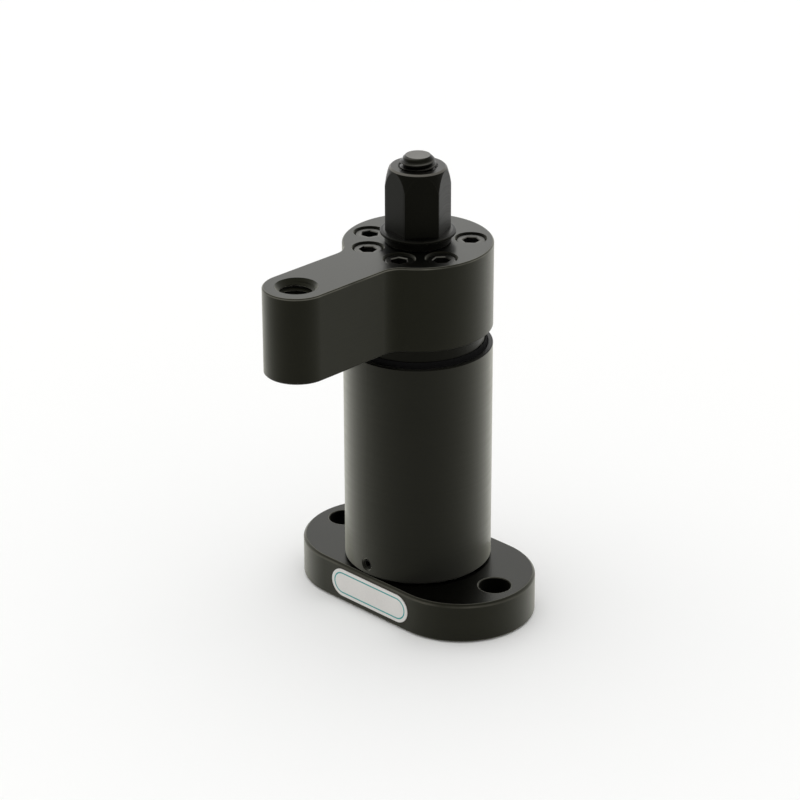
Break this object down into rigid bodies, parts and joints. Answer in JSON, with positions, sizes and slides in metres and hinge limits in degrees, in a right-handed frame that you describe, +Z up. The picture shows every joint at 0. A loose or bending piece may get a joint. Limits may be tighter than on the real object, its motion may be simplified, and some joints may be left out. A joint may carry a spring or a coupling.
{
  "type": "manual swing clamp",
  "caption": "Blackened steel swing clamp on an obround flange: a nut on a fixed stud lowers and turns a clamp arm carried on a sprung spindle inside a plain tube.",
  "frame": {"origin": "underside of the base plate, on the axis of the stud and midway between the fixing holes", "axes": "+Z up along the stud, +X along the base plate through the fixing holes, and the clamped arm points to -Y"},
  "size_m": [0.091, 0.0915, 0.1585],
  "materials": {
    "blackened_steel": "black oxide on milled steel, satin",
    "blackened_tube": "black oxide on turned steel, satin",
    "blackened_fastener": "black oxide on hardened steel, semi-gloss",
    "ground_steel": "hardened and ground, bright",
    "spring_steel": "oiled spring wire",
    "bronze": "turned bearing bronze",
    "seal_rubber": "moulded nitrile rubber, matte",
    "guide_plastic": "filled bearing plastic",
    "label_film": "printed film label, matte"
  },
  "bodies": {
    "root": {"base_plate": "blackened_steel", "body_tube": "blackened_tube", "centre_stud": "blackened_fastener", "stud_lock_nut": "blackened_fastener", "cam_post": "ground_steel", "cam_post_dowel": "ground_steel", "tube_set_screw": "blackened_fastener", "tube_o_ring": "seal_rubber", "wiper_ring": "seal_rubber", "upper_guide_ring": "bronze", "spring_seat": "ground_steel", "return_spring": "spring_steel", "label": "label_film"},
    "lifter": {"spring_cap": "bronze"},
    "arm": {"swing_spindle": "blackened_tube", "lower_guide_ring": "guide_plastic", "guide_screw": "ground_steel", "stud_bush": "bronze", "arm_dowel": "ground_steel", "swing_arm": "blackened_steel", "arm_screws": "blackened_fastener", "thrust_washer": "blackened_fastener"},
    "nut": {"clamp_nut": "blackened_fastener"}
  },
  "joints": [
    {"name": "spindle_lift", "type": "slide", "parent": "root", "child": "lifter", "axis": [0, 0, 1], "range_m": [0, 0.012], "deforming": ["return_spring"]},
    {"name": "arm_swing", "type": "hinge", "parent": "lifter", "child": "arm", "pos_m": [0, 0, 0.1], "axis": [0, 0, 1], "range_deg": [0, 90]},
    {"name": "nut_turn", "type": "hinge", "parent": "lifter", "child": "nut", "pos_m": [0, 0, 0.145], "axis": [0, 0, 1], "range_deg": [0, 2468.6]}
  ],
  "couplings": [
    {"joint": "nut_turn", "follows": "spindle_lift", "rad_per_m": 3590.4},
    {"joint": "arm_swing", "follows": "spindle_lift", "rad_per_m": 130.9}
  ]
}
